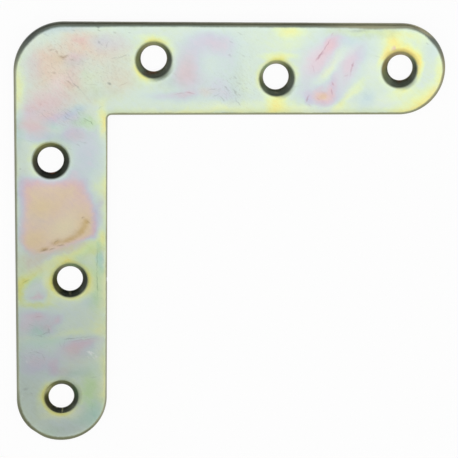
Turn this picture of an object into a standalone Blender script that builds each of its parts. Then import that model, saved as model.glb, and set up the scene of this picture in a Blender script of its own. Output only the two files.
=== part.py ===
"""Flat corner brace: one punched steel plate with three countersunk screw holes in each arm.

Metres, +Z up. The plate lies on its back face at z = 0 with the countersinks upwards. The
origin is where the centrelines of the two arms cross. One arm runs along +X and the other
along -Y, and the plate is its own mirror image across the diagonal between them.
"""

import math

import bmesh
import bpy

# Plate
ARM_LENGTH = 0.100  # outer corner to the rounded end of an arm
ARM_WIDTH = 0.0213
THICKNESS = 0.0020
ELBOW_RADIUS = 0.0114  # outer corner
INNER_RADIUS = 0.0009  # inner corner

# Punched edge, from the front face down to the back
ROLL_WIDTH = 0.0008  # how far the rolled edge reaches in over the front face
ROLL_DEPTH = 0.0008  # how far it drops down the side
BREAK_HEIGHT = 0.0005  # torn band above the back face
BREAK_INSET = 0.0001  # how far the tear leans in at the back face

# Screw holes
SCREWS_PER_ARM = 3
FIRST_SCREW = 0.0317  # from the plate's outer edge at the corner
LAST_SCREW = 0.0111  # from the arm's rounded end
STAGGER = 0.0021  # first screw towards the outer edge, second towards the inner one
THROAT_RADIUS = 0.0030
RIM_RADIUS = 0.0042  # where the countersink's cone would meet the front face
COUNTERSINK_ANGLE = math.radians(90)
RIM_ROUNDING = 0.0006  # radius between the front face and the cone
FLARE_HEIGHT = 0.0004  # torn band where the punch broke through at the back
FLARE = 0.00015  # how much wider the hole is there

# Facets
END_STEPS = 32
ELBOW_STEPS = 16
INNER_STEPS = 6
ROLL_STEPS = 5
ROUNDING_STEPS = 3
HOLE_STEPS = 40
CUTTER_OVERSHOOT = 0.001

# Bright zinc under a pale yellow passivation
FINISH_COLOUR = (0.72, 0.75, 0.62, 1.0)
FINISH_METALLIC = 1.0
FINISH_ROUGHNESS = 0.35
SHARP_ANGLE = math.radians(35)

half_width = ARM_WIDTH / 2
arm_reach = ARM_LENGTH - half_width  # from the origin to an arm's tip


def clear_scene():
    for old in list(bpy.data.objects):
        bpy.data.objects.remove(old)


def arc(centre, radius, start, end, steps):
    """Points along an arc. Angles are in degrees, and the arc is clockwise if end is below start."""
    points = []
    for i in range(steps + 1):
        angle = math.radians(start + (end - start) * i / steps)
        points.append((centre[0] + radius * math.cos(angle), centre[1] + radius * math.sin(angle)))
    return points


def outline(inset):
    """The plate's outline, moved inwards by inset, anticlockwise from the tip of the +X arm."""
    end_centre = arm_reach - half_width
    elbow_centre = ELBOW_RADIUS - half_width
    inner_centre = half_width + INNER_RADIUS
    end_radius = half_width - inset
    right_end = arc((end_centre, 0), end_radius, -90, 90, END_STEPS)
    elbow = arc((elbow_centre, -elbow_centre), ELBOW_RADIUS - inset, 90, 180, ELBOW_STEPS)
    lower_end = arc((0, -end_centre), end_radius, 180, 360, END_STEPS)
    inner = arc((inner_centre, -inner_centre), INNER_RADIUS + inset, 180, 90, INNER_STEPS)
    return right_end + elbow + lower_end + inner


def punched_section():
    """The plate's edge in section, as (inset, height) from the back face to the front."""
    section = [(BREAK_INSET, 0.0), (0.0, BREAK_HEIGHT)]
    for i in range(ROLL_STEPS + 1):
        turn = math.pi / 2 * i / ROLL_STEPS
        inset = ROLL_WIDTH * (1 - math.cos(turn))
        section.append((inset, THICKNESS - ROLL_DEPTH * (1 - math.sin(turn))))
    return section


def hole_section():
    """A screw hole in section, as (radius, height) from below the back face to above the front."""
    slope = COUNTERSINK_ANGLE / 2  # the cone's wall, measured from the hole's axis
    cone_depth = (RIM_RADIUS - THROAT_RADIUS) / math.tan(slope)
    turn = math.pi / 2 - slope
    tangent = RIM_ROUNDING * math.tan(turn / 2)
    rounding_centre = (RIM_RADIUS + tangent, THICKNESS - RIM_ROUNDING)
    section = [
        (THROAT_RADIUS + FLARE, -CUTTER_OVERSHOOT),
        (THROAT_RADIUS + FLARE, 0.0),
        (THROAT_RADIUS, FLARE_HEIGHT),
        (THROAT_RADIUS, THICKNESS - cone_depth),
    ]
    for i in range(ROUNDING_STEPS + 1):
        angle = math.pi / 2 + turn * (1 - i / ROUNDING_STEPS)
        section.append(
            (
                rounding_centre[0] + RIM_ROUNDING * math.cos(angle),
                rounding_centre[1] + RIM_ROUNDING * math.sin(angle),
            )
        )
    section.append((section[-1][0], THICKNESS + CUTTER_OVERSHOOT))
    return section


def loft(name, rings):
    """A closed solid through rings of points, each anticlockwise from above, lowest ring first."""
    bm = bmesh.new()
    loops = [[bm.verts.new(point) for point in ring] for ring in rings]
    for low, high in zip(loops, loops[1:]):
        count = len(low)
        for i in range(count):
            j = (i + 1) % count
            bm.faces.new((low[i], low[j], high[j], high[i]))
    bm.faces.new(reversed(loops[0]))
    bm.faces.new(loops[-1])
    mesh = bpy.data.meshes.new(name)
    bm.to_mesh(mesh)
    bm.free()
    solid = bpy.data.objects.new(name, mesh)
    bpy.context.scene.collection.objects.link(solid)
    return solid


def plate():
    """The punched blank, before its holes."""
    rings = [[(x, y, z) for x, y in outline(inset)] for inset, z in punched_section()]
    return loft("corner_brace", rings)


def screw_places():
    """Centres of all the holes: those of the +X arm, then their mirror images in the -Y arm."""
    first = FIRST_SCREW - half_width
    pitch = (arm_reach - LAST_SCREW - first) / (SCREWS_PER_ARM - 1)
    places = []
    for i in range(SCREWS_PER_ARM):
        last = i == SCREWS_PER_ARM - 1
        side = 0.0 if last else STAGGER * (-1) ** i
        places.append((first + pitch * i, side))
    return places + [(-y, -x) for x, y in places]


def hole_cutter(name, place):
    """A turned cutter with the hole's own section, standing at place."""
    rings = []
    for radius, z in hole_section():
        ring = arc((0, 0), radius, 0, 360, HOLE_STEPS)[:-1]
        rings.append([(x, y, z) for x, y in ring])
    cutter = loft(name, rings)
    cutter.location = (place[0], place[1], 0)
    cutter.hide_render = True
    cutter.display_type = "WIRE"
    return cutter


def punch_holes(brace):
    for number, place in enumerate(screw_places(), 1):
        cutter = hole_cutter(f"screw_hole_cutter_{number}", place)
        cut = brace.modifiers.new(f"screw hole {number}", "BOOLEAN")
        cut.operation = "DIFFERENCE"
        cut.solver = "EXACT"
        cut.object = cutter


def plated_steel():
    material = bpy.data.materials.new("yellow passivated zinc")
    material.use_nodes = True
    shader = material.node_tree.nodes["Principled BSDF"]
    shader.inputs["Base Color"].default_value = FINISH_COLOUR
    shader.inputs["Metallic"].default_value = FINISH_METALLIC
    shader.inputs["Roughness"].default_value = FINISH_ROUGHNESS
    return material


def main():
    clear_scene()
    brace = plate()
    brace.data.materials.append(plated_steel())
    brace.data.shade_smooth()
    brace.data.set_sharp_from_angle(angle=SHARP_ANGLE)
    punch_holes(brace)


main()
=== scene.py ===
import math
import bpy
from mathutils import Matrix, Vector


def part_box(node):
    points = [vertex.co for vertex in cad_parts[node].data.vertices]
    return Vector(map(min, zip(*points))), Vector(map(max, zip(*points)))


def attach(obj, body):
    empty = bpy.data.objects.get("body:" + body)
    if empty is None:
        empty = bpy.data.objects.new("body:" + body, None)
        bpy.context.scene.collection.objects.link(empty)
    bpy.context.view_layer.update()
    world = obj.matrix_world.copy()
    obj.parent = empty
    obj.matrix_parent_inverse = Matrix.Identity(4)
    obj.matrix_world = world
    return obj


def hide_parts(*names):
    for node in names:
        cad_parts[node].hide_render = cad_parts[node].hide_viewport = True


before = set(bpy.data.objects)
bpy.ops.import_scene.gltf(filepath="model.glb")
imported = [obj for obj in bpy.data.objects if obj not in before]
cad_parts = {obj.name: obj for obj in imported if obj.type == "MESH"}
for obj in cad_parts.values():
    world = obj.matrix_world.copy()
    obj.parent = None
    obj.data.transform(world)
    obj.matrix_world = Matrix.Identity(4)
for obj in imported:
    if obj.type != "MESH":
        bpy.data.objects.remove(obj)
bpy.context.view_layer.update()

from types import SimpleNamespace

import bmesh
import bpy
import numpy as np
from mathutils import Matrix, Vector, geometry

plateLow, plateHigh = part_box("corner_brace")

mm = 0.001
print("frame loaded, plate box", [round(v / mm, 2) for v in plateHigh - plateLow], "mm")


# Shader sheets

class Wire:
    # an output socket that takes Python's own operators
    def __init__(self, sheet, socket):
        self.sheet, self.socket = sheet, socket

    def sum(self, operation, first, second):
        return self.sheet.add("ShaderNodeMath", {"operation": operation}, {0: first, 1: second})

    def __add__(self, other):
        return self.sum("ADD", self, other)

    def __radd__(self, other):
        return self.sum("ADD", other, self)

    def __sub__(self, other):
        return self.sum("SUBTRACT", self, other)

    def __rsub__(self, other):
        return self.sum("SUBTRACT", other, self)

    def __mul__(self, other):
        return self.sum("MULTIPLY", self, other)

    def __rmul__(self, other):
        return self.sum("MULTIPLY", other, self)

    def upTo(self, other):
        return self.sum("MINIMUM", self, other)

    def ease(self, start, end):
        # 0 at start and before it, 1 at end and after it, smooth between them
        return self.sheet.add("ShaderNodeMapRange", {"interpolation_type": "SMOOTHSTEP", "clamp": False},
                              {"Value": self, "From Min": start, "From Max": end})


class Sheet:
    # the node tree of one material or of the world
    def __init__(self, owner):
        owner.use_nodes = True
        self.tree = owner.node_tree
        self.tree.nodes.clear()

    def add(self, kind, settings, sockets, output=0):
        node = self.tree.nodes.new(kind)
        for name, value in settings.items():
            if name == "stops":
                self.setStops(node, value)
            else:
                setattr(node, name, value)
        for name, value in sockets.items():
            target = node.inputs[name]
            if isinstance(value, Wire):
                self.tree.links.new(value.socket, target)
            else:
                target.default_value = value
        return Wire(self, node.outputs[output]) if node.outputs else node

    def setStops(self, node, stops):
        ramp = node.color_ramp
        while len(ramp.elements) > 1:
            ramp.elements.remove(ramp.elements[-1])
        ramp.elements[0].position, ramp.elements[0].color = stops[0]
        for place, colour in stops[1:]:
            ramp.elements.new(place).color = colour

    def mix(self, share, under, over, blend="MIX"):
        # colours only: 6 and 7 are the Mix node's two colour sockets, and 2 is its colour result
        return self.add("ShaderNodeMix", {"data_type": "RGBA", "blend_type": blend, "clamp_factor": True},
                        {0: share, 6: under, 7: over}, 2)

    def shift(self, vector, change, operation="ADD"):
        return self.add("ShaderNodeVectorMath", {"operation": operation}, {0: vector, 1: change})

    def noise(self, vector, scale, detail=2.0, roughness=0.5, output=0):
        return self.add("ShaderNodeTexNoise", {},
                        {"Vector": vector, "Scale": scale, "Detail": detail, "Roughness": roughness}, output)


def colour(red, green, blue):
    # a colour as seen, 0 to 255, in the numbers that the shader wants
    shown = [c / 255 for c in (red, green, blue)]
    return tuple(c / 12.92 if c <= 0.04045 else ((c + 0.055) / 1.055) ** 2.4 for c in shown) + (1.0,)


# The plate, finer than the CAD solid, from the same sizes

plate = {
    "elbowRadius": 11.4,
    "innerRadius": 0.9,
    "rollDepth": 0.8,
    "rollChance": [          # amount, seed and reach of the chance in the rolled edge's width
        (0.05, 3.0, 3.5),
        (0.025, 8.0, 0.9),
    ],
    "tornHeight": 0.5,
    "tornLean": 0.1,
    "tornWaver": 0.12,       # how far the line of the tear wanders up and down
    "tornRough": 0.012,
    "tornRings": (0.0, 0.35, 0.7, 1.0),   # heights of rings up the tear, as shares of it
    "edgeSpacing": 0.6,      # between points along a straight edge
    "endSteps": 56,
    "elbowSteps": 30,
    "innerSteps": 8,
    "rollSteps": 9,
    "faceSpacing": 1.1,
    "faceRows": 0.866,       # between rows of the face's grid, as a share of its spacing
    "faceSpan": (-12, 91),   # how far the grid runs before it is cut to the outline
    "faceClear": (0.75, 1.7),    # kept free of it: at the edge, as a share of its spacing, and at the holes
    "edgeRing": 0.45,        # from the edge to the ring of points along it
    "rimRings": (0.3, 0.7, 1.25),
    "rimRingSteps": 60,
    "faceWave": 0.012,       # how far the sheet is from dead flat
    "dents": [               # place, reach and depth of what the sheet's edge has lost
        ((10.65, -49.7), 0.28, 0.16),
        ((-6.1, -87.45), 1.5, 0.14),
        ((8.1, 10.65), 0.3, 0.06),
    ],
    "rolled": [              # going round the outline, how wide the edge is drawn down
        ((78.0, -10.65), 0.70),
        ((86.6, -7.0), 1.00),
        ((89.3, 0.0), 0.95),
        ((88.0, 5.2), 1.35),
        ((86.2, 7.5), 1.50),
        ((84.3, 9.05), 1.32),
        ((77.0, 10.65), 1.40),
        ((71.0, 10.65), 1.50),
        ((65.0, 10.65), 1.25),
        ((45.0, 10.65), 1.18),
        ((20.0, 10.65), 1.15),
        ((2.0, 10.65), 1.34),
        ((-7.3, 7.3), 1.44),
        ((-10.65, -2.0), 0.70),
        ((-10.65, -40.0), 0.62),
        ((-10.65, -76.0), 0.75),
        ((-7.5, -86.2), 1.24),
        ((0.0, -89.3), 1.25),
        ((7.5, -86.2), 1.00),
        ((10.65, -76.0), 0.55),
        ((10.65, -20.0), 0.45),
        ((14.0, -10.65), 0.68),
        ((60.0, -10.65), 0.68),
    ],
}
plate["halfWidth"] = -plateLow.x / mm
plate["thickness"] = plateHigh.z / mm
plate["armReach"] = plateHigh.x / mm
plate["endCentre"] = plate["armReach"] - plate["halfWidth"]

holes = {
    "places": [(21.05, 2.1), (49.65, -2.1), (78.25, 0.0)],   # +X arm; the other arm mirrors them
    "throatRadius": 3.0,
    "rimRadius": 4.2,
    "rimRounding": 0.6,
    "flare": 0.15,
    "flareHeight": 0.4,
    "flareBend": (0.6, 0.45),    # a point on the flare, as shares of its width and height
    "roundSteps": 6,
    "wallRings": (0.35, 0.7, 0.96),
    "throatBreak": 0.05,
    "steps": 96,
    "press": 0.035,          # how far the countersinking tool drew the face down round the rim
    "pressReach": 0.9,
}
holes["all"] = holes["places"] + [(-y, -x) for x, y in holes["places"]]
# how far each hole's tools ran off their mark: countersink x and y, punch x and y, and its extra width
holes["slips"] = [
    (0.04, -0.04, 0.15, 0.20, 0.00),
    (-0.05, -0.05, -0.15, 0.25, -0.07),
    (0.08, -0.08, 0.45, 0.30, 0.02),
    (-0.25, -0.14, -0.25, -0.15, 0.06),
    (-0.11, -0.01, -0.10, 0.10, -0.05),
    (-0.12, 0.01, -0.10, -0.20, -0.06),
]
holes["sunk"] = [(x + slip[0], y + slip[1], slip[4]) for (x, y), slip in zip(holes["all"], holes["slips"])]
holes["rimStart"] = holes["rimRadius"] + holes["rimRounding"] * math.tan(math.pi / 8)


def arcPoints(centre, radius, start, end, steps):
    angles = np.radians(np.linspace(start, end, steps + 1))
    return np.stack([centre[0] + radius * np.cos(angles), centre[1] + radius * np.sin(angles)], 1)


def outline(inset):
    # anticlockwise from the tip of the +X arm, with the same number of points at every inset
    half, centre = plate["halfWidth"], plate["endCentre"]
    elbow = plate["elbowRadius"] - half
    inner = half + plate["innerRadius"]
    arcs = [
        arcPoints((centre, 0), half - inset, -90, 90, plate["endSteps"]),
        arcPoints((elbow, -elbow), plate["elbowRadius"] - inset, 90, 180, plate["elbowSteps"]),
        arcPoints((0, -centre), half - inset, 180, 360, plate["endSteps"]),
        arcPoints((inner, -inner), plate["innerRadius"] + inset, 180, 90, plate["innerSteps"]),
    ]
    points = []
    for here, after in zip(arcs, arcs[1:] + arcs[:1]):
        run = max(2, round(centre / plate["edgeSpacing"]))
        share = np.linspace(0, 1, run + 1)[1:-1, None]
        points += [here, here[-1] + (after[0] - here[-1]) * share]
    return np.concatenate(points)


def waver(points, seed, reach):
    # smooth chance along the outline, from -1 to 1
    phase = np.array([[1.7, 2.3], [-2.9, 1.1], [0.7, -3.1], [4.3, 2.7]]) / reach
    total = sum(np.sin(points @ p + seed * (k + 1)) for k, p in enumerate(phase))
    return total / len(phase)


def rolledWidths():
    # width of the drawn-down edge at each point of the outline
    base = outline(0)
    steps = np.linalg.norm(np.diff(base, axis=0, append=base[:1]), axis=1)
    along = np.concatenate([[0], np.cumsum(steps)[:-1]])
    at = [along[np.argmin(np.linalg.norm(base - place, axis=1))] for place, width in plate["rolled"]]
    widths = [width for place, width in plate["rolled"]]
    order = np.argsort(at)
    smooth = np.interp(along, np.array(at)[order], np.array(widths)[order], period=steps.sum())
    return smooth + sum(amount * waver(base, seed, reach) for amount, seed, reach in plate["rollChance"])


def edgeRings():
    # rings up the punched edge, from the back face to the front face
    base, widths = outline(0), rolledWidths()
    tear = plate["tornHeight"] + plate["tornWaver"] * waver(base, 1.0, 2.5)
    rings = []
    for share in plate["tornRings"]:
        rough = plate["tornRough"] * waver(base, 5.0 + 9 * share, 0.6) * (share < 1)
        rings.append((plate["tornLean"] * (1 - share) + rough, tear * share))
    land = plate["thickness"] - plate["rollDepth"]
    rings.append((0.0, (tear + land) / 2))
    for i in range(plate["rollSteps"] + 1):
        turn = math.pi / 2 * i / plate["rollSteps"]
        inset = widths * (1 - math.cos(turn))
        rings.append((inset, land + plate["rollDepth"] * math.sin(turn)))
    return [ringAt(inset, height) for inset, height in rings]


def ringAt(inset, height):
    near, far = outline(0), outline(1)
    inset = np.broadcast_to(inset, len(near)).copy()
    for place, reach, depth in plate["dents"]:
        inset += depth * np.exp(-(np.linalg.norm(near - place, axis=1) / reach) ** 2)
    points = near + (far - near) * inset[:, None]
    return np.column_stack([points, np.broadcast_to(height, len(points))])


def holeRings(place, slip):
    # rings down a hole, from the front face to the back
    top, slope = plate["thickness"], math.pi / 4
    section = []
    for i in range(holes["roundSteps"] + 1):
        angle = math.pi / 2 + slope * i / holes["roundSteps"]
        section.append((holes["rimStart"] + holes["rimRounding"] * math.cos(angle),
                        top - holes["rimRounding"] + holes["rimRounding"] * math.sin(angle)))
    throatTop = top - (holes["rimRadius"] - holes["throatRadius"])
    wallRadius, wallHeight = section[-1]
    throat, flare, flareHeight = holes["throatRadius"], holes["flare"], holes["flareHeight"]
    section += [(wallRadius + (throat - wallRadius) * s, wallHeight + (throatTop - wallHeight) * s)
                for s in holes["wallRings"]]
    section += [(throat, throatTop - holes["throatBreak"]),
                (throat, flareHeight),
                (throat + flare * holes["flareBend"][0], flareHeight * holes["flareBend"][1]),
                (throat + flare, 0.0)]
    rings = []
    for radius, height in section:
        deep = min(1, (top - height) / (top - throatTop))
        centre = np.array(place) + np.array(slip[:2]) * (1 - deep) + np.array(slip[2:4]) * deep
        ring = arcPoints(centre, radius + slip[4] * (1 - deep), 0, 360, holes["steps"])[:-1]
        rings.append(np.column_stack([ring, np.full(len(ring), height)]))
    return rings


def depthInside(points):
    # distance in from the outline, negative outside it
    edge = outline(0)
    after = np.roll(edge, -1, axis=0)
    along = after - edge
    best = np.full(len(points), 1e9)
    for a, d in zip(edge, along):
        t = np.clip((points - a) @ d / (d @ d), 0, 1)
        best = np.minimum(best, np.linalg.norm(points - a - t[:, None] * d, axis=1))
    return np.where(isInside(points), best, -best)


def isInside(points):
    half, centre, elbow = plate["halfWidth"], plate["endCentre"], plate["elbowRadius"]
    x, y = points[:, 0], points[:, 1]
    armX = (np.abs(y) <= half) & (x >= -half) & ((x <= centre) | (np.hypot(x - centre, y) <= half))
    armY = (np.abs(x) <= half) & (y <= half) & ((y >= -centre) | (np.hypot(x, y + centre) <= half))
    cx = elbow - half
    corner = (x < cx) & (y > -cx) & (np.hypot(x - cx, y + cx) > elbow)
    return (armX | armY) & ~corner


def rimGap(points):
    # distance out from the nearest countersink's rim, negative inside it
    gaps = [np.hypot(points[:, 0] - x, points[:, 1] - y) - wider for x, y, wider in holes["sunk"]]
    return np.min(gaps, axis=0) - holes["rimStart"]


def facePoints(edgeInset, rimRadius):
    # loose points for a flat face: a grid of triangles, closer rings round the holes, one along the edge
    step = plate["faceSpacing"]
    low, high = plate["faceSpan"]
    xs = np.arange(low, high, step)
    ys = np.arange(-high, -low, step * plate["faceRows"])
    grid = np.array([(x + (k % 2) * step / 2, y) for k, y in enumerate(ys) for x in xs])
    deep = depthInside(grid)
    gap = rimGap(grid) + holes["rimStart"] - rimRadius
    edgeClear, rimClear = plate["faceClear"]
    grid = grid[(deep > edgeInset + edgeClear * step) & (gap > rimClear)]
    rings = [outline(edgeInset + plate["edgeRing"])]
    for out in plate["rimRings"]:
        rings += [arcPoints(sunk, rimRadius + sunk[2] + out, 0, 360, plate["rimRingSteps"])[:-1]
                  for sunk in holes["sunk"]]
    return np.concatenate([grid] + rings)


def fillFace(loops, loose):
    # triangles between the loops, using the loose points too
    points, edges = [], []
    for loop in loops:
        first = len(points)
        points += [tuple(p) for p in loop]
        edges += [(first + i, first + (i + 1) % len(loop)) for i in range(len(loop))]
    ringCount = len(points)
    points += [tuple(p) for p in loose]
    made = geometry.delaunay_2d_cdt([Vector(p) for p in points], edges, [], 0, 1e-6, True)
    places = np.array([tuple(v) for v in made[0]])
    triangles = np.array([f for f in made[2] if len(f) == 3])
    middle = places[triangles].mean(axis=1)
    inLoop = [windingInside(middle, loop) for loop in loops]
    keep = inLoop[0] & ~np.any(inLoop[1:], axis=0)
    origin = [ids[0] if ids else -1 for ids in made[3]]
    return places, triangles[keep], origin, ringCount


def windingInside(points, loop):
    inside = np.zeros(len(points), bool)
    for (x0, y0), (x1, y1) in zip(loop, np.roll(loop, -1, axis=0)):
        crosses = (y0 > points[:, 1]) != (y1 > points[:, 1])
        with np.errstate(divide="ignore", invalid="ignore"):
            at = x0 + (points[:, 1] - y0) / (y1 - y0) * (x1 - x0)
        inside ^= crosses & (points[:, 0] < at)
    return inside


def addBand(bm, low, high):
    for i in range(len(low)):
        j = (i + 1) % len(low)
        bm.faces.new((low[i], low[j], high[j], high[i]))


def addFace(bm, loops, verts, loose, height, up):
    places, triangles, origin, ringCount = fillFace(loops, loose)
    ringVerts = [v for ring in verts for v in ring]
    made = []
    for place, source in zip(places, origin):
        if 0 <= source < ringCount:
            made.append(ringVerts[source])
        else:
            made.append(bm.verts.new((place[0], place[1], height)))
    for a, b, c in triangles:
        cross = np.cross(places[b] - places[a], places[c] - places[a])
        order = (a, b, c) if (cross > 0) == up else (a, c, b)
        bm.faces.new([made[k] for k in order])
    spare = [v for v in made if not v.link_faces]
    bmesh.ops.delete(bm, geom=spare, context="VERTS")


def pressAndWave(points):
    # the front face sinks a little towards each countersink, and rolls gently as thin sheet does
    gap = rimGap(points[:, :2])
    sink = holes["press"] * np.exp(-np.clip(gap, 0, None) / holes["pressReach"])
    wave = plate["faceWave"] * waver(points[:, :2], 2.0, 22)
    share = np.clip(points[:, 2] / plate["thickness"], 0, 1) ** 2
    moved = points.copy()
    moved[:, 2] += (wave - sink) * share - plate["faceWave"] * share
    return moved


def ringPlaces(rings):
    return [np.array([v.co.xy[:] for v in ring]) for ring in rings]


def makePlate():
    bm = bmesh.new()
    edge = [[bm.verts.new(p) for p in ring] for ring in edgeRings()]
    for low, high in zip(edge, edge[1:]):
        addBand(bm, low, high)
    bores = []
    for place, slip in zip(holes["all"], holes["slips"]):
        bore = [[bm.verts.new(p) for p in ring] for ring in holeRings(place, slip)]
        for low, high in zip(bore, bore[1:]):
            addBand(bm, low, high)
        bores.append(bore)
    front = [edge[-1]] + [bore[0] for bore in bores]
    back = [edge[0]] + [bore[-1] for bore in bores]
    widest = max(width for place, width in plate["rolled"])
    addFace(bm, ringPlaces(front), front, facePoints(widest, holes["rimStart"]), plate["thickness"], True)
    foot = holes["throatRadius"] + holes["flare"]
    addFace(bm, ringPlaces(back), back, facePoints(plate["tornLean"], foot), 0.0, False)
    bm.normal_update()
    mesh = bpy.data.meshes.new("bracePlate")
    bm.to_mesh(mesh)
    bm.free()
    points = np.zeros(len(mesh.vertices) * 3)
    mesh.vertices.foreach_get("co", points)
    points = points.reshape(-1, 3)
    addMeasure(mesh, "edgeDepth", depthInside(points[:, :2]))
    addMeasure(mesh, "rimGap", rimGap(points[:, :2]))
    share, facing = edgeMeasures(points[:, :2])
    addMeasure(mesh, "rollShare", share)
    addMeasure(mesh, "edgeFacing", facing)
    points = pressAndWave(points)
    mesh.vertices.foreach_set("co", (points * mm).ravel())
    mesh.shade_smooth()
    mesh.set_sharp_from_angle(angle=math.radians(32))
    mesh.update()
    piece = bpy.data.objects.new("bracePlate", mesh)
    bpy.context.scene.collection.objects.link(piece)
    print("plate mesh:", len(mesh.polygons), "faces,", len(mesh.vertices), "points")
    return piece


def edgeMeasures(points):
    # how deep each point lies as a share of the drawn-down edge there, and how far that edge faces +Y
    base, widths = outline(0), rolledWidths()
    outward = base - outline(1)
    nearest = np.array([np.argmin((base[:, 0] - x) ** 2 + (base[:, 1] - y) ** 2) for x, y in points])
    depth = np.clip(np.sum((base[nearest] - points) * outward[nearest], axis=1), 0, None)
    return depth / widths[nearest], outward[nearest, 1]


def addMeasure(mesh, name, values):
    measure = mesh.attributes.new(name, "FLOAT", "POINT")
    measure.data.foreach_set("value", values.astype(np.float32))


bracePlate = makePlate()
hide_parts("corner_brace")
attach(bracePlate, "root")


# Finish: a thin iridescent passivation film over satin zinc, with painted shade on its edges and painted
# light and shade in its countersinks

film = {
    "base": 0.70,            # where the open face lies on the ramp below
    "drift": 0.07,           # slow wandering of the film over the sheet
    "backDrift": 3.0,        # how much more it wanders on the back
    "backTurn": (-0.3, -0.7),    # tilts of the surface between which the back's pattern takes over
    "backAside": 190.0,
    "ripple": 0.045,
    "speckle": 0.03,
    "smear": 0.05,           # strokes left as the bath ran off, and how they lie
    "smearTurn": -38,
    "smearStretch": 5.0,
    "warp": (1.3, 0.6, 0.22),    # how far the outlines of patches wander, coarse to fine, in mm
    "warpScale": (0.13, 0.5, 2.0),
    "drawn": 0.4,            # how far thin marks wander
    "drawnScale": 1.1,
    "edgeHalo": 0.08,        # thicker film along the punched edges, and how uneven
    "edgeUneven": 1.6,
    "rimHalo": 0.07,         # and round the countersinks
    "rimUneven": 2.0,
    "haloReach": 1.5,
    "stops": [               # thin film to thick
        (0.00, colour(176, 146, 96)),
        (0.10, colour(206, 186, 140)),
        (0.20, colour(231, 213, 178)),
        (0.30, colour(231, 209, 193)),
        (0.38, colour(225, 206, 206)),
        (0.46, colour(217, 210, 217)),
        (0.54, colour(211, 218, 223)),
        (0.62, colour(212, 227, 222)),
        (0.70, colour(217, 232, 217)),
        (0.78, colour(224, 239, 205)),
        (0.86, colour(232, 242, 187)),
        (0.94, colour(239, 242, 168)),
        (1.00, colour(244, 237, 153)),
    ],
}

# noise at several scales: scale, detail, roughness
chance = {
    "slow": (0.10, 3.0, 0.55),
    "fine": (0.7, 4.0, 0.6),
    "smear": (1.3, 3.0, 0.6),
    "speckle": (4.0, 2.0, 0.7),
    "grit": (1.0, 4.0, 0.65),
    "ragged": (1.6, 3.0, 0.6),
    "lines": (1.0, 3.0, 0.6),
    "turned": (1.0, 2.0, 0.6),
    "grain": (6.0, 3.0, 0.6),
}

gloss = {
    "roughness": 0.34,
    "fine": 0.10,
    "edge": 0.06,
    "speckle": 0.04,
    "bump": 0.15,
    "bumpHeight": 0.03,      # in mm
}

wear = {
    "stainSmear": 0.9,       # how patchy chance makes the stains
    "stainFine": 1.1,
    "markLeast": 0.7,        # thin marks show at this strength and up
    "markFine": 0.6,
    "duskTone": colour(120, 124, 116),
    "duskLeast": 0.02,
    "duskSmear": 0.14,
    "duskSpeckle": 0.22,
    "duskFine": 0.12,
}

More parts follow.
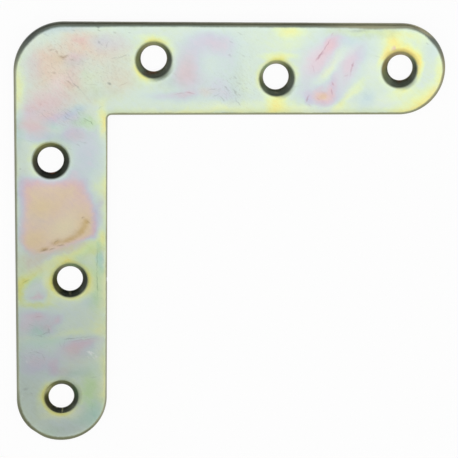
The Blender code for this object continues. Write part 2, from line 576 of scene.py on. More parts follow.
# each patch: centre x and y, half length and half width to where half is left, turn, change of film,
# and how soft its rim is where it isn't soft all through
filmPatches = {
    "elbow": [
        (-5.2, -8.4, 3.4, 2, 0, -0.14), (-6.6, -12.6, 3.2, 2.6, 0, -0.2), (1, -10.8, 3.8, 1.9, -10, -0.22),
        (-9.6, -15, 0.8, 4, 0, -0.05), (-3, -11, 2, 1.4, 0, -0.16), (2.6, -14.6, 2, 1.4, 0, -0.14),
        (6.4, -12, 2.2, 1.6, 0, 0.08), (9.6, -12, 1, 3.4, 0, 0.2), (9.4, -7, 1.8, 0.9, 12, 0.08),
        (7, -2.4, 3.2, 2.6, 0, 0.02), (-9.7, -4.2, 1.1, 4.6, 0, 0.16), (2.6, 2.4, 2.4, 1.3, 16, -0.24),
        (0.6, -7.4, 2.6, 1.6, 0, -0.1), (-0.6, 9.2, 5, 1, 6, -0.09),
    ],
    "upperArm": [
        (18.8, -1.8, 2.4, 1, -42, 0.1), (20.4, 6.9, 2.4, 0.7, -6, 0.14), (24.4, 5.8, 2.2, 0.8, -48, 0.08),
        (28.8, -0.6, 2.8, 4.2, 0, -0.26), (33.6, 6, 4.6, 2.4, 0, -0.2), (22.6, -6.2, 3, 0.9, 6, -0.12),
        (28, -5.9, 3.4, 0.9, 5, -0.14), (17.8, -3, 1.6, 1.6, 0, 0.05), (34.6, -4.4, 3.2, 2.4, 0, -0.14),
        (38.4, -6.6, 2.6, 1.8, 0, -0.11), (30, -9.8, 14, 0.7, 0, 0.12), (46, -8.8, 13, 1.4, 0, 0.1),
        (37, 1, 3, 4.4, 0, -0.1), (40, 5.4, 2.6, 3.6, 0, -0.06), (52.2, 9, 2.8, 1.1, 0, 0.18),
        (52.6, 6.6, 5, 1.8, 8, 0.04), (49.6, -7.6, 2, 2.8, 0, 0.19), (53, -9.7, 4, 0.8, 0, 0.06),
        (44.2, -7.6, 2.6, 2, 0, -0.05), (53.9, -0.6, 0.9, 2.4, 0, 0.08),
    ],
    "pinkStreaks": [
        (60.1, 3, 7.4, 3.8, 53, -0.15), (60.4, 3.9, 5.6, 1.3, 54, -0.12), (63.2, 6.4, 2.6, 1.8, 30, -0.08),
        (61.6, -0.2, 4.2, 0.9, 46, 0.17), (64.4, 4.2, 1.6, 0.8, 46, 0.08), (66.8, 1, 5, 2.2, 66, -0.18),
        (66.8, 0.4, 3.2, 0.8, 68, -0.04), (63.6, 8.9, 2.4, 0.9, 0, 0.13), (60.2, -6.8, 4.6, 3, -6, -0.22),
        (60.2, -6.6, 2.6, 1.5, -4, -0.16), (60.1, -6.4, 0.9, 0.8, 0, -0.1),
        (62.8, -3.8, 1.1, 2.4, -8, -0.16), (66, -6.9, 4.6, 0.9, 49, 0.16), (65.4, -9, 2.4, 1, 0, 0.09),
        (59.6, -9.6, 4, 0.8, 0, 0.07), (76, -9.8, 9, 0.7, 0, 0.06), (80, -6.6, 4.6, 1.4, 0, 0.11),
        (50, 3, 3.4, 0.8, 0, 0.18), (79.6, 7.4, 2.6, 1.2, 0, 0.05), (71, 8.6, 5, 0.7, -2, 0.1),
    ],
    "rightEnd": [
        (75.8, 5.8, 2, 3, -14, 0.21), (79.4, 5, 2.8, 1.2, -25, 0.22), (81.6, 3.4, 0.8, 2.2, 40, 0.12),
        (74.2, 2.8, 0.8, 1.8, -24, 0.18), (80.4, 8, 4.6, 1.3, -10, 0.09), (82.9, 1.4, 0.7, 3, 4, 0.2),
        (88.3, -1.2, 0.8, 3.6, 6, 0.17), (86, -6, 1.7, 3.4, -42, 0.17), (81, -9, 4.2, 1.2, 12, 0.17),
        (79.6, -5, 3.2, 0.8, 6, 0.09),
    ],
    "lowerArm": [
        (5.6, -20.4, 4, 5.8, 0, -0.16), (2.2, -24, 1.6, 1.2, 0, -0.1), (-5.6, -25.6, 3.6, 0.8, 0, -0.08),
        (-4.6, -15.8, 3.2, 0.9, 0, -0.05), (6.2, -27.2, 1.6, 0.9, 0, 0.05), (3.4, -30, 2, 1.6, 0, 0.04),
        (-4, -32.2, 2.6, 1.6, 10, -0.06), (-6.6, -40, 2.2, 2, 0, -0.06), (5, -37, 1.8, 2.4, -24, -0.07),
        (9.4, -39.2, 1.2, 1.4, 0, 0.16), (0, -15.6, 7, 1.3, 0, -0.08), (-3.6, -17, 2.8, 0.7, 22, 0.08),
        (8.4, -27.2, 1.7, 2.6, 0, 0.1), (9.8, -31, 0.9, 8, 0, 0.08), (5.2, -42.4, 4.8, 1.2, 22, 0.14),
        (-1.4, -45.7, 4.8, 1.3, 26, 0.13), (-8, -48.4, 3.6, 1, 28, 0.13), (7.2, -48.2, 1.3, 4.4, 0, 0.05),
        (6.6, -50.6, 0.9, 2.6, 0, 0.16), (-6, -52.6, 4.5, 4, 0, 0.11, 0.35),
        (-5.8, -52.4, 3.1, 2.9, 0, -0.2, 0.4), (-10.2, -51, 0.9, 3, 0, 0.05),
        (9.4, -51.8, 1.3, 5, 0, 0.18), (-8.9, -50.6, 1.2, 2, 0, 0.1), (-3, -49.4, 0.9, 2.4, 0, 0.08),
        (-9, -46, 1.4, 1.6, 0, 0.05), (2.2, -45.1, 2.6, 0.6, 0, 0.07), (8.9, -44.4, 0.6, 2.6, 0, -0.12),
    ],
    "lowerEnd": [
        (-1.8, -51.6, 1, 1.8, 30, 0.04), (5.2, -53.4, 2.2, 0.9, 30, 0.12), (0, -57.6, 5, 1.2, 0, -0.05),
        (-6.6, -59.6, 4.4, 2.6, 0, -0.21), (-5.8, -58.4, 2.2, 0.8, 4, -0.05),
        (-1.2, -59, 1.2, 1, 0, -0.13), (-3, -61, 1.4, 1.3, 0, -0.12), (2.2, -62.3, 2.2, 0.7, 4, 0.08),
        (9, -61.4, 1.6, 1.8, 0, 0.1), (6.2, -62.6, 2.6, 1.1, 0, 0.06), (9.2, -65, 1.2, 4, 0, 0.05),
        (4.4, -65.6, 4.4, 2, 6, -0.16), (2.2, -67.4, 2.8, 2.6, 0, -0.14),
        (-5.8, -69.4, 4.2, 3.4, 0, -0.21), (-1.6, -70.8, 1.3, 1.8, 0, -0.1),
        (7.2, -76.6, 2.2, 3.4, 0, 0.05), (9.8, -74, 0.9, 6, 0, 0.16), (-4.6, -76.8, 0.9, 2.6, -20, 0.08),
        (-0.6, -83.1, 3.2, 0.8, 0, 0.14), (-5.1, -79.2, 0.8, 2.2, 0, 0.08),
        (0.4, -85.8, 3.6, 1.6, 0, -0.08),
    ],
}

# the heat-toned shield on the lower arm: a point on each side, the way it faces in degrees, how soft it is
shield = {
    "sides": [
        (0, -26, 91, 2.4), (-9.3, -34, 180, 2.2), (7, -29.8, 28, 2.5), (8.7, -36, 3, 2.3),
        (2, -42, -70, 1.8), (7.4, -39.2, -42, 1.8), (-7.2, -43, -128, 2),
    ],
    "change": -0.43,
}

# soft tints: centre, half length and half width, turn, share of the tone
stains = {
    "peach": {"tone": colour(231, 207, 190), "spots": [
        (-1.2, 1.6, 4.2, 3.2, 30, 0.85), (4.4, 6.2, 3, 2.2, -10, 0.8), (1.2, -2.8, 3.2, 2.2, -30, 0.65),
        (-4.4, -1.6, 2.8, 4.2, 0, 0.34), (10.8, 4.6, 3.6, 2.4, 0, 0.42), (13.4, -2.8, 2.8, 2.4, 0, 0.38),
        (7.6, 2.6, 3.4, 2.4, 0, 0.28), (-4.6, -7.8, 3.4, 1.7, 0, 0.45), (-6.4, -12.6, 2.8, 2, 0, 0.45),
        (2.4, -67.2, 2.4, 1.4, 0, 0.22), (0.4, -7.4, 2.6, 1.6, 0, 0.25), (33.4, -5.2, 1.4, 0.8, 0, 0.3),
        (28.2, 0.6, 2, 3.2, 0, 0.22), (-4, 3.4, 2, 1.4, 30, 0.2),
    ]},
    "beige": {"tone": colour(216, 214, 197), "spots": [
        (3, -0.8, 8, 6.2, 0, 0.42), (13.4, -0.4, 3, 4.6, 0, 0.4), (2, -6.6, 6, 2.6, 0, 0.3),
        (-6.4, -45.6, 3.4, 2, 14, 0.65), (-1.6, -43.6, 3.4, 0.9, 12, 0.45), (30.6, -2.6, 2.2, 1.6, 0, 0.2),
        (3, -69.6, 2.6, 1.4, 0, 0.3), (-7, -44.2, 2.6, 1.6, 14, 0.35), (-5.4, -34.8, 3.4, 1.4, -20, 0.2),
    ]},
    "blush": {"tone": colour(240, 220, 226), "spots": [
        (0, -3.2, 2, 1.5, 0, 0.45), (-3, -5.8, 3, 1.6, 0, 0.2), (57.2, 2, 1.6, 3.6, -30, 0.28),
        (60.2, 3, 2.4, 4.4, -36, 0.3), (66.6, 0.6, 1.8, 4.4, -24, 0.24), (-8.6, -60.2, 1.4, 2, 0, 0.32),
    ]},
    "chalk": {"tone": colour(240, 246, 226), "spots": [
        (63.6, 1.4, 3.8, 1, 46, 0.26), (60, -9.7, 6, 0.8, 0, 0.4), (38, -9, 6, 0.9, 0, 0.24),
        (24, -9.4, 8, 0.6, 0, 0.2), (8.9, -65.6, 1.2, 4.6, 0, 0.3), (8.9, -75.2, 1, 3, 0, 0.24),
        (8.6, -51.6, 1.6, 3.6, 0, 0.52), (-6.2, 6, 2.4, 1.1, 45, 0.26), (0, 1, 2.4, 2.4, 0, 0.12),
        (7.4, -73.6, 2.4, 3, 0, 0.34), (8.6, -76.6, 1.2, 2, 0, 0.16), (72.2, 1.6, 1.6, 2.8, 0, 0.2),
        (74, -7.8, 5, 1.6, 0, 0.18), (67.6, -6.2, 2, 2, 0, 0.12), (-6.4, -51.2, 2, 1.2, 0, 0.2),
        (-0.2, -83.4, 3.4, 0.8, 0, 0.5), (-3.7, -81.9, 1.2, 1.1, 0, 0.3), (2.8, -82.3, 1.3, 0.9, 0, 0.34),
        (-3.4, -49.8, 0.8, 2.2, 0, 0.22), (-8.8, -33, 0.7, 8, 0, 0.05),
    ]},
    "sand": {"tone": colour(224, 214, 176), "spots": [
        (2.8, -42, 2.8, 0.8, 16, 0.6), (-0.4, -42.6, 1.8, 0.7, 10, 0.3),
    ]},
    "moss": {"tone": colour(184, 204, 160), "spots": [
        (70.8, 8.5, 4.8, 1.1, -1, 0.38), (62.8, 9, 2.4, 0.8, 0, 0.22),
    ]},
    "tan": {"tone": colour(232, 209, 170), "spots": [
        (-4.2, -32, 2.6, 1.8, 20, 0.35), (5.2, -36.6, 1.6, 2.6, -20, 0.5), (-6.2, -40.2, 2.4, 2, 0, 0.5),
        (0.4, -29, 2.4, 0.9, 0, 0.2), (-0.6, -31.6, 0.7, 2.6, -30, 0.25),
    ]},
    "paleYellow": {"tone": colour(235, 225, 190), "spots": [
        (0.4, -37.6, 3, 2, 20, 0.7), (1.6, -34.6, 2.4, 1.6, 30, 0.4),
    ]},
    "coolBlue": {"tone": colour(194, 216, 228), "spots": [
        (70.4, -6.8, 1.9, 1.9, 0, 0.55), (71.2, 4.2, 2.4, 2.8, 0, 0.22), (86, 4.2, 1.5, 2.6, -20, 0.28),
        (3.6, -9.6, 2.2, 0.8, 26, 0.6), (1, -11, 1.2, 0.6, 10, 0.45), (66.2, 6.8, 2.4, 1.2, 0, 0.35),
        (6.4, -55, 2.2, 1.6, 0, 0.3), (5.6, -21, 3.4, 4.2, 0, 0.2), (-2, -15.6, 5, 1, 0, 0.25),
        (0, 9, 6, 0.9, 4, 0.25), (9.2, 6.2, 2, 1.4, 0, 0.22),
    ]},
    "teal": {"tone": colour(176, 224, 206), "spots": [
        (8.8, -44.4, 0.6, 3, 0, 0.6), (-5.2, -62, 1.9, 1.1, -10, 0.45), (7.6, -72.4, 2, 2, 0, 0.25),
        (4.8, -84.2, 2.4, 1.4, 0, 0.32), (-4, -64.6, 4, 1, 6, 0.3), (8, -54.6, 1.2, 2.2, 0, 0.08),
        (7.6, -82.2, 1.9, 2.8, 10, 0.55), (-9.4, -14, 0.9, 3, 0, 0.3), (-2.4, -12.6, 2.2, 0.6, -20, 0.3),
        (3.6, -73, 2, 0.9, 0, 0.25),
    ]},
    "leafGreen": {"tone": colour(186, 226, 158), "spots": [
        (6.6, -77, 2, 3, 0, 0.45), (6, -12.2, 1.8, 1.1, -35, 0.45), (-3, -87, 3, 1, 14, 0.2),
        (8.2, -50.8, 1.2, 4.6, 0, 0.42), (-9.2, -46.4, 0.9, 2.4, 0, 0.16), (6.2, -75.6, 1.6, 1.8, 0, 0.16),
        (7.4, -54.6, 1.6, 1.6, 0, 0.12), (7, -42.6, 3.2, 1.4, 26, 0.34), (5.4, -46.8, 2.4, 1.2, -40, 0.22),
        (-7.4, -49.6, 2.6, 1.2, 30, 0.26), (-9.4, -53.2, 0.8, 2, 0, 0.22),
        (-5.6, -55.8, 2.8, 0.7, 0, 0.22), (3.6, -12.4, 1.2, 0.8, 0, 0.3), (8.4, -4.6, 2, 1.4, 0, 0.1),
        (5.6, -1.6, 1.6, 1.4, 0, 0.08),
    ]},
    "dull": {"tone": colour(184, 198, 192), "spots": [
        (-7.4, -76.6, 3.2, 4.4, 0, 0.4), (-4, -84.4, 4.6, 3.2, -30, 0.26), (4, -85, 4, 2.4, 30, 0.28),
        (0, -86.8, 3, 1, 0, 0.18), (-7.2, -82.6, 2.2, 2, 0, 0.14), (2.4, -72.8, 3.6, 1.2, 0, 0.35),
        (-1, 9.3, 6, 0.9, 4, 0.25), (-8.2, 4.4, 3.4, 1.1, 52, 0.12), (9, -5.6, 4, 1.6, 0, 0.16),
        (-8.8, -24.8, 1.2, 2.8, 0, 0.18), (0.4, -16.8, 2.4, 1.6, 0, 0.14), (0.8, -14.4, 6, 2, 0, 0.22),
        (-9.4, -70, 1.2, 8, 0, 0.15), (3.4, -10.6, 3.4, 1.6, 0, 0.3), (-5, -61.4, 3.4, 1.6, 0, 0.2),
        (71, 9.4, 7, 0.6, 0, 0.35), (-5, 7.8, 3.4, 1.2, 40, 0.12), (30, 9.8, 14, 0.5, 0, 0.15),
        (40.2, -3.6, 1.8, 4.6, 0, 0.2), (2.6, 1.6, 1.8, 1.2, 20, 0.3), (24.6, -3, 2.8, 1.8, 0, 0.28),
        (28.4, 0, 2.6, 3.4, 0, 0.16), (18, -3, 2.4, 1.6, 0, 0.16), (75.2, 8.4, 1.7, 1.2, 0, 0.12),
        (-9.2, -18.4, 1.2, 2.6, 0, 0.26), (28, -5.8, 3, 0.9, 4, 0.16), (-2.4, -72, 3, 1.2, 0, 0.16),
    ]},
    "lilac": {"tone": colour(202, 194, 222), "spots": [
        (56.9, -7, 0.9, 1.3, 0, 0.55), (62.7, -3.9, 0.7, 1.8, -8, 0.4), (-2.6, -11.2, 1.6, 0.9, 10, 0.5),
        (2, -14.6, 1.8, 0.8, 10, 0.3), (8.4, -33.6, 0.8, 3.6, -12, 0.4), (-6.4, -70.6, 2.8, 1.2, 0, 0.25),
        (30.6, 4, 3, 3.4, 0, 0.15), (-9, -28.6, 0.7, 3.6, -6, 0.4), (-6.2, 1.4, 1.6, 3.4, 0, 0.24),
        (31, -3, 2, 1.6, 0, 0.16), (68.6, 3.6, 1.2, 2.6, -20, 0.22), (-2.4, -71.2, 1.2, 1.2, 0, 0.2),
        (34.4, 6.8, 3, 1.4, 0, 0.16), (64.8, -5.6, 1.4, 2.4, -30, 0.2), (5.6, -26.4, 1.6, 0.8, -30, 0.15),
        (12, 5.8, 2.6, 1.8, 0, 0.28), (8.8, 6, 1.8, 1.4, 0, 0.16), (1.4, -10.6, 1.8, 0.8, 0, 0.4),
        (-8.4, -58.6, 1.4, 2, 0, 0.08), (39.4, -6.4, 1.4, 1.6, 0, 0.1),
    ]},
    "rose": {"tone": colour(228, 182, 198), "spots": [
        (27.8, -5.6, 2.4, 0.45, 4, 0.18), (62.2, 5.8, 2, 1.3, 50, 0.26), (60.2, 3, 5, 1.7, 55, 0.14),
        (76.6, 4.9, 0.5, 0.5, 0, 0.6), (66.8, 1, 3.6, 1.2, 70, 0.1), (60.1, -6.4, 1, 0.8, 0, 0.3),
        (-3, -6, 3.8, 2, 0, 0.2), (2.8, -2.4, 1.6, 1.8, 0, 0.22), (3.2, 0.2, 1.4, 1.2, 0, 0.18),
        (0.4, -6.4, 2.6, 1.5, 0, 0.14), (28.8, -2.6, 2, 2, 0, 0.14), (0, -72, 1.8, 1, 0, 0.16),
        (-5.2, -53.4, 1, 0.7, 0, 0.45), (-6.8, -53.8, 0.7, 0.5, 0, 0.3), (4.4, -65, 3.2, 0.9, 7, 0.22),
        (5.8, -64.6, 1.4, 0.6, 7, 0.18), (1.8, -26.9, 3, 0.8, 0, 0.2), (4.6, -28.6, 1, 2, 16, 0.18),
        (-7.6, -29.4, 0.8, 2.6, 0, 0.22), (-6.6, -26.6, 2, 1, 0, 0.28), (7.8, -37.6, 0.8, 1.4, -10, 0.25),
        (-6, -58.6, 2, 0.7, 0, 0.14), (-1, -59, 0.8, 0.6, 0, 0.14), (60.6, -8, 2.4, 0.6, 0, 0.25),
        (62.2, -6.4, 0.8, 1.6, 0, 0.2), (28.8, -0.8, 1.8, 2.4, 0, 0.08), (2.8, 2.8, 1.8, 1, 20, 0.25),
        (34, 5.6, 3.2, 1.6, 0, 0.07), (-4.4, -8, 2.8, 1.1, 0, 0.24), (-6.4, -13.4, 2.2, 1, 0, 0.3),
        (-7.4, -9.8, 1.4, 1.8, 0, 0.3), (4.6, 6.6, 1.8, 1, 0, 0.22), (-2, -71, 1, 1.4, 0, 0.15),
    ]},
    "lemon": {"tone": colour(226, 226, 130), "spots": [
        (-9.2, -50.6, 0.9, 2, -12, 0.5), (-7.4, -48.9, 2.4, 0.5, 28, 0.34),
        (-9.3, -53.6, 0.6, 1.4, 0, 0.34), (-6.2, -55.6, 2.6, 0.6, 0, 0.38),
        (-2.7, -52.4, 0.5, 2.4, 0, 0.24), (8, -42.9, 2.6, 0.8, 30, 0.3),
    ]},
    "gold": {"tone": colour(250, 228, 140), "spots": [
        (86.2, -6.2, 0.8, 3, -42, 0.4), (76.4, 6.4, 1.2, 0.9, 0, 0.22), (9.9, -12.6, 0.7, 2, 0, 0.35),
        (74.9, 4.4, 0.7, 1.5, -24, 0.15), (82.5, 1.2, 0.4, 2, 4, 0.3), (82.2, -9.4, 2.4, 0.5, 12, 0.35),
        (49.4, -8.8, 2, 1, 0, 0.14),
    ]},
    "ochre": {"tone": colour(204, 172, 108), "spots": [
        (5.9, -35.7, 0.9, 0.6, 35, 0.45), (4.9, -37, 1.5, 0.7, 54, 0.45), (3.2, -38.8, 1.7, 0.8, 42, 0.45),
        (1, -40.1, 1.6, 0.7, 20, 0.5), (-1.3, -40.5, 0.9, 0.6, 40, 0.45), (-3.8, -42.2, 1.2, 0.4, 14, 0.5),
        (-0.6, 2.6, 1.4, 1, 0, 0.25), (1.6, -3.6, 1.4, 0.6, -30, 0.16), (60.1, -6.3, 0.8, 0.7, 0, 0.22),
    ]},
}

# places rubbed in handling, where fine grit marks show
scuffs = {
    "tone": colour(140, 134, 122),
    "turn": -44,
    "long": 0.85,
    "wide": 0.24,
    "shownFrom": (0.50, 0.74),
    "spots": [
        (1, 1.2, 8, 6.6, 20, 0.42), (12, 1, 5, 5, 0, 0.26), (-4, -8, 5, 3, 0, 0.18),
        (2.4, -11.4, 6, 2.4, -10, 0.34), (39, -4.6, 5.6, 3.4, 0, 0.4), (42, 3, 3.6, 6, 0, 0.2),
        (-4, -61.4, 4.6, 2, 0, 0.24), (-6, -67.8, 3.6, 2.4, 0, 0.28), (5.6, -67, 3, 1.8, 0, 0.18),
        (-2, -83.6, 7, 4, 0, 0.12), (62, 3, 6, 4, 50, 0.1), (0, -35, 8, 8, 0, 0.1),
    ],
}

# thin marks: ends, width, share; they are drawn over everything else
marks = {
    "brown": {"tone": colour(150, 118, 86), "lines": [
        (-2.7, 4.2, -1.3, 4.6, 0.22, 0.25), (-1.2, 4.4, -0.6, 3.5, 0.18, 0.35),
        (-0.3, 3, 0.6, 2.7, 0.24, 0.38), (0.5, 2.7, 1.5, 3.1, 0.26, 0.38),
        (0.2, 2.4, 1.3, 2.3, 0.18, 0.28), (2, 2.2, 3.1, 1.8, 0.2, 0.18), (-0.4, 5.6, 0.3, 4.6, 0.14, 0.2),
        (-1.8, -0.8, -1.4, -1, 0.26, 0.3), (13.4, -3.8, 15, -2.9, 0.2, 0.18),
        (-4.6, -42.5, -3.4, -42.1, 0.34, 0.6), (-2.8, -42.2, -1.6, -41.8, 0.18, 0.45),
        (-0.9, -41.3, 0.4, -41.1, 0.28, 0.45), (-1.6, -40.8, -0.8, -39.9, 0.2, 0.35),
        (4.8, -34.7, 5.2, -34.6, 0.24, 0.4), (6, -35.5, 6.6, -35.9, 0.2, 0.32),
        (2.2, -0.4, 3.2, -1.2, 0.12, 0.22), (5.2, -6, 7.2, -7.9, 0.12, 0.12),
        (1, -2.4, 2.8, -3.8, 0.2, 0.28), (2.4, 1, 3.4, 0.2, 0.14, 0.2), (-2.2, 0.8, -1, -0.4, 0.14, 0.16),
    ]},
    "soot": {"tone": colour(112, 118, 112), "lines": [
        (2.6, -3, 4.4, -4.8, 0.18, 0.34), (4.4, -4.8, 6.4, -6.8, 0.12, 0.12),
        (1.4, -0.8, 2.9, -3.2, 0.12, 0.18), (11.4, 2.4, 13.2, 2.6, 0.14, 0.22),
        (13.2, 2.6, 15.1, 3.3, 0.12, 0.28), (8.6, 6.2, 8.8, 6, 0.24, 0.3),
        (9.1, 5.6, 9.4, 5.4, 0.22, 0.22), (10.9, 6.4, 10.1, 4.7, 0.14, 0.22),
        (10.8, -3.2, 11.2, -3.4, 0.3, 0.5), (-0.6, -10, 3, -12.2, 0.12, 0.24),
        (0.4, -9.4, 1.8, -10.8, 0.14, 0.24), (5.4, -3.4, 8.4, -3.5, 0.1, 0.14),
        (2.6, 8.9, 3.2, 8.7, 0.16, 0.3), (8, 9.9, 8.5, 9.6, 0.34, 0.6), (8.4, 9, 8.8, 8.8, 0.2, 0.35),
        (-4, 8.2, -2.6, 7.4, 0.14, 0.18), (12, 8.4, 12.3, 8.3, 0.2, 0.22),
        (15.4, 8.3, 15.7, 8.2, 0.18, 0.22), (37.4, -3.9, 38.6, -5.2, 0.14, 0.32),
        (39.4, -4.6, 40.3, -5.8, 0.18, 0.32), (36.4, -6.2, 37.6, -7.6, 0.14, 0.26),
        (40, -7, 41.2, -8.4, 0.14, 0.26), (33.4, -5, 35.6, -4.4, 0.12, 0.24),
        (34.8, -6.4, 36.4, -5.6, 0.12, 0.2), (40.2, 8.4, 41.4, 8.1, 0.12, 0.22),
        (53, -4, 55.4, -3.6, 0.12, 0.12), (72.4, 3.2, 73.8, 2.8, 0.14, 0.14),
        (84.4, 6.2, 84.8, 6, 0.2, 0.22), (-5.4, -9.6, -3, -11.4, 0.1, 0.2),
        (3.4, -17.2, 4.2, -17.8, 0.16, 0.2), (-3.2, -61, -2.9, -62.4, 0.24, 0.25),
        (-4.6, -62.8, -3, -62.2, 0.14, 0.3), (0.6, -63.9, 3.4, -63.7, 0.14, 0.34),
        (3.4, -63.7, 6.8, -63.4, 0.12, 0.25), (-8.9, -76.2, -8.1, -76, 0.4, 0.3),
        (-7.4, -77, -7, -77.3, 0.2, 0.2), (-6.4, -66.8, -4.6, -67.6, 0.12, 0.2),
        (-4.6, -67.6, -4.2, -68.8, 0.12, 0.18), (-8.2, -67.4, -6.6, -67, 0.1, 0.2),
        (6.6, -73.6, 8.4, -73.4, 0.12, 0.16), (-8, -16.4, -6.4, -16.8, 0.1, 0.16),
        (-9.6, -22.9, -9.3, -23.1, 0.16, 0.24), (38.4, 3.4, 38.8, 3, 0.24, 0.22),
        (39.6, -1.6, 40, -2, 0.26, 0.22), (40.8, -3.2, 41.1, -3.4, 0.24, 0.22),
        (38.6, 6.4, 39, 6.2, 0.22, 0.18), (41.6, 3.2, 41.9, 3, 0.18, 0.16), (66, 8.8, 71, 9.2, 0.24, 0.16),
        (69, 9.6, 75, 9.5, 0.26, 0.3), (58, 9.8, 64, 9.7, 0.16, 0.22), (-6, -62.8, -4.6, -63.2, 0.16, 0.2),
        (1, -9.2, 2.6, -9.9, 0.14, 0.26), (3.2, -9, 4.6, -9.6, 0.12, 0.22),
        (-3.4, -10, -1.6, -10.8, 0.12, 0.18), (4.2, -16.6, 6.2, -17.1, 0.1, 0.18),
        (3.8, -15.6, 5.2, -16, 0.1, 0.14), (-0.8, -12.4, 0.8, -13, 0.12, 0.18),
        (-0.6, -64.4, -0.2, -65.6, 0.12, 0.18), (1.6, -18.4, 2.4, -18.7, 0.14, 0.16),
        (-8, -60, -6.4, -60.8, 0.12, 0.16),
    ]},
    "darkGreen": {"tone": colour(96, 138, 84), "lines": [
        (5.2, -11.3, 6.4, -12, 0.14, 0.35), (6.4, -12, 7.3, -12.8, 0.16, 0.45),
        (8.3, -42.2, 8.3, -47, 0.16, 0.28), (8.2, -47, 8.4, -53.4, 0.13, 0.38),
        (-9.2, -50.4, -7.4, -49.2, 0.16, 0.22), (0.6, -64.2, 0.4, -66.4, 0.1, 0.16),
        (7, -79.4, 7.2, -82, 0.12, 0.16), (3.6, -9.6, 4.6, -10.6, 0.12, 0.24),
        (8.6, -9.2, 9.4, -8.4, 0.12, 0.22),
    ]},
    "plum": {"tone": colour(168, 96, 122), "lines": [
        (58.6, 2.1, 60, 4.1, 0.2, 0.42), (60, 4.1, 61.8, 6.8, 0.14, 0.4),
        (59.6, 3.3, 60.2, 3.9, 0.3, 0.22), (66.7, -1.2, 67.3, 1.5, 0.2, 0.28),
        (67.1, 0.8, 67.3, 1.4, 0.24, 0.25), (65.4, -1.6, 66.2, -1.2, 0.2, 0.18),
        (62.5, -3, 62.9, -3.6, 0.22, 0.35), (62.4, -4.6, 62.6, -5.7, 0.22, 0.34),
        (57.1, -6.2, 56.6, -7.4, 0.22, 0.34), (57, -8, 57.8, -8.6, 0.16, 0.28),
        (59.2, -6.6, 59.6, -7, 0.2, 0.22), (28.6, -5.3, 30.4, -5.5, 0.16, 0.34),
        (26.2, -5.7, 28.4, -5.4, 0.14, 0.22), (24.8, -0.6, 26.6, -1.4, 0.08, 0.12),
        (-6.4, -58.4, -4.4, -58.4, 0.16, 0.18), (57.8, 1, 58.4, -0.8, 0.16, 0.16),
        (61.9, 7.8, 62.4, 8.5, 0.16, 0.2), (1.2, -64.6, 7.4, -63.9, 0.14, 0.22),
    ]},
    "bareSpeck": {"tone": colour(246, 250, 246), "lines": [
        (6.2, -67.1, 6.9, -67.9, 0.26, 0.8), (6.7, -67.2, 7.5, -67.6, 0.18, 0.75),
        (8, -68.2, 8.2, -68.6, 0.22, 0.6), (7.4, -68.6, 7.8, -68.9, 0.16, 0.45),
        (6, -68.2, 6.3, -68.6, 0.14, 0.4), (-8.4, -69.2, -8, -69.5, 0.2, 0.3),
        (5.6, -67.2, 6, -67, 0.12, 0.3), (-9.7, -36, -9.4, -36.3, 0.2, 0.3),
        (-9.4, -77.8, -9.2, -78, 0.16, 0.22), (-7, -74.8, -6.8, -75.2, 0.1, 0.18),
        (-5.8, -80.6, -5.4, -80.8, 0.16, 0.16), (-8.8, -67, -7.8, -67.4, 0.14, 0.22),
        (6.2, -68.4, 6.8, -68.8, 0.12, 0.3),
    ]},
}

